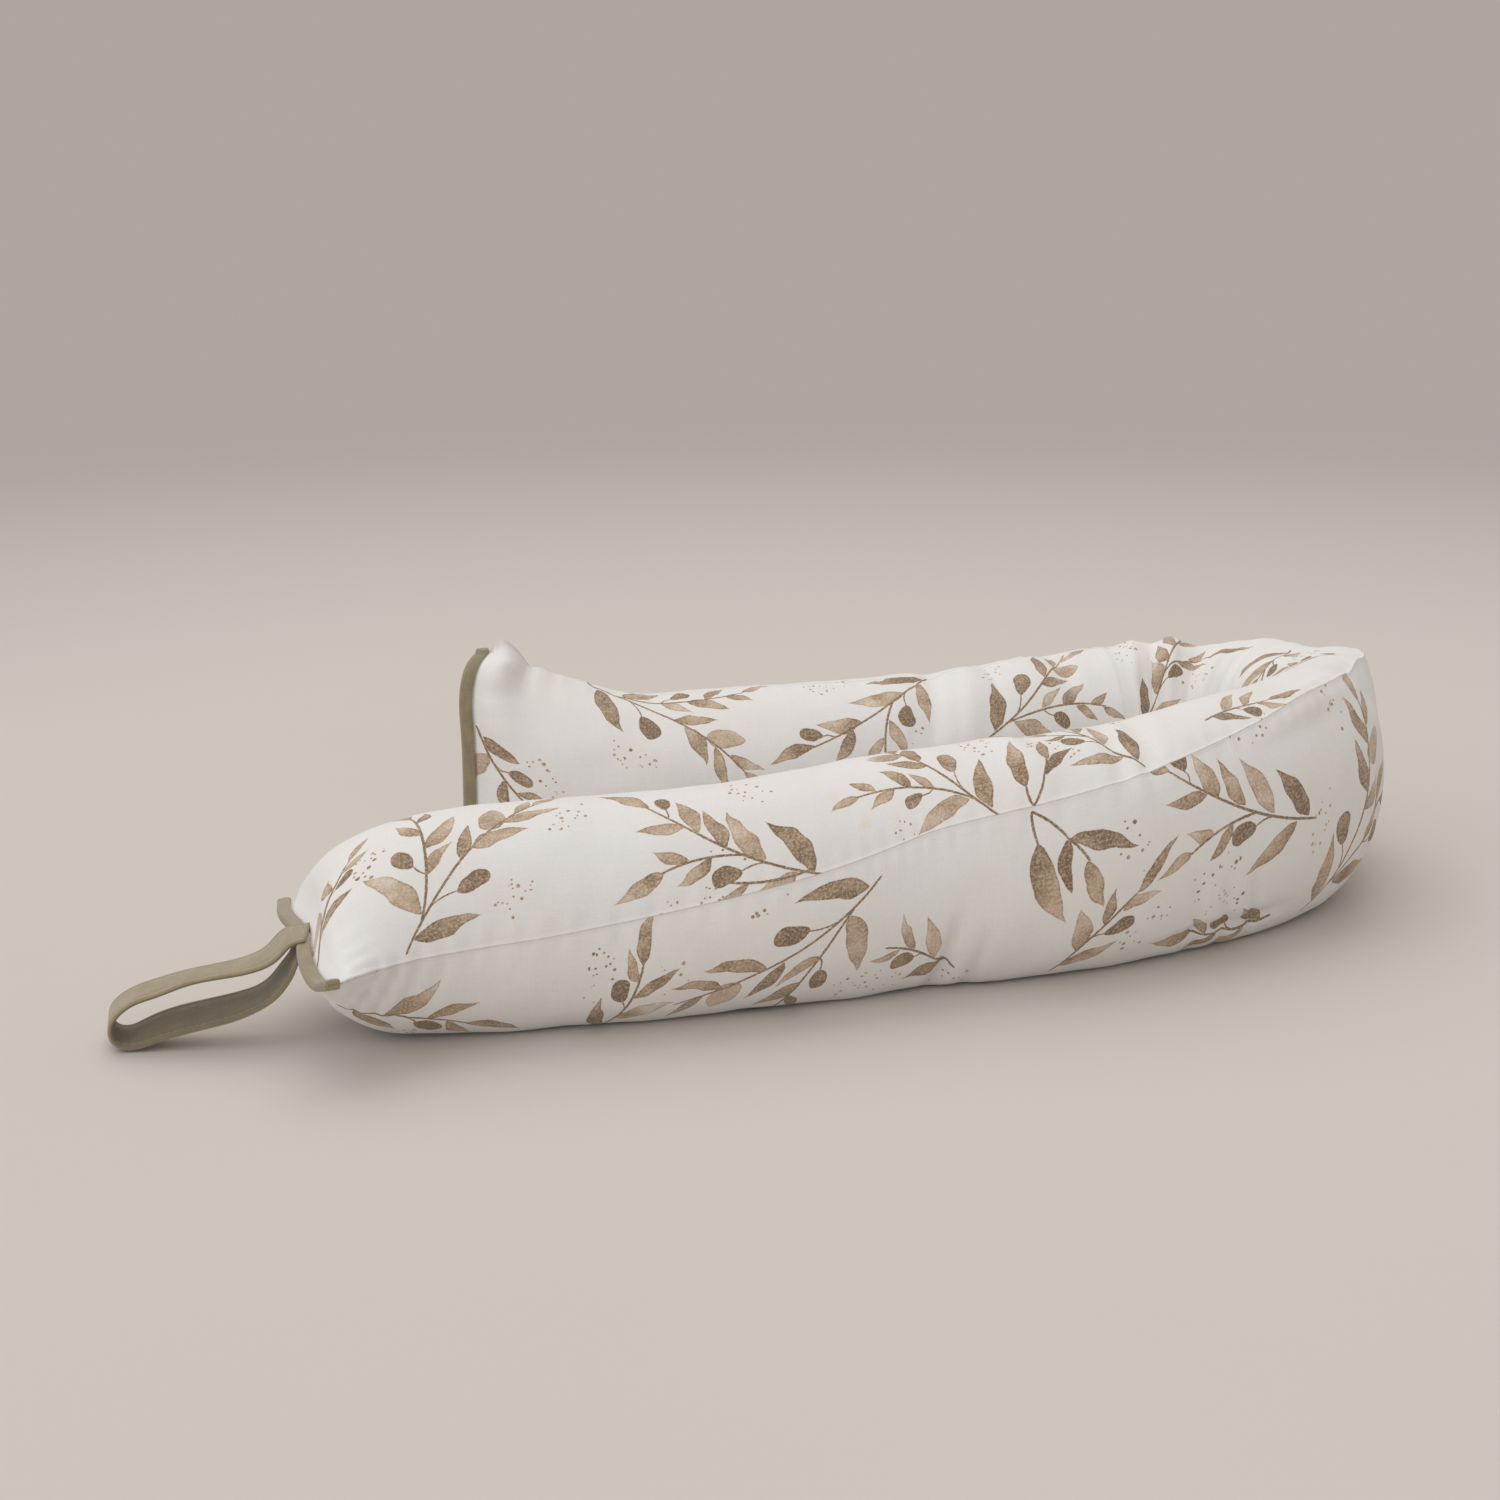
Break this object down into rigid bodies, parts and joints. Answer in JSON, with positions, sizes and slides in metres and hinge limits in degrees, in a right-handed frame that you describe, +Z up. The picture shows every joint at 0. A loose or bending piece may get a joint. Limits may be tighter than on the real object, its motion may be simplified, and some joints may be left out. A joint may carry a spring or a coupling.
{
  "type": "draught excluder",
  "caption": "Long stuffed cotton tube with a leaf-sprig print, bent into a hairpin on the floor, with bound end seams and a tape carry loop.",
  "frame": {"origin": "centre of the bounding box, on the surface that the tube lies on", "axes": "+X along the two arms from the carry loop towards the hairpin bend, +Y from the near arm to the far arm, +Z up"},
  "size_m": [0.5059, 0.3561, 0.1069],
  "materials": {
    "printed_cotton": "matt plain-weave cotton, off-white with a brown leaf-sprig print",
    "binding_tape": "matt olive-taupe cotton tape, folded over the seam and stitched",
    "loop_tape": "matt olive-taupe cotton tape, folded and edge stitched"
  },
  "bodies": {
    "root": {"cover": "printed_cotton", "near_binding": "binding_tape", "far_binding": "binding_tape", "carry_loop": "loop_tape"}
  },
  "joints": []
}
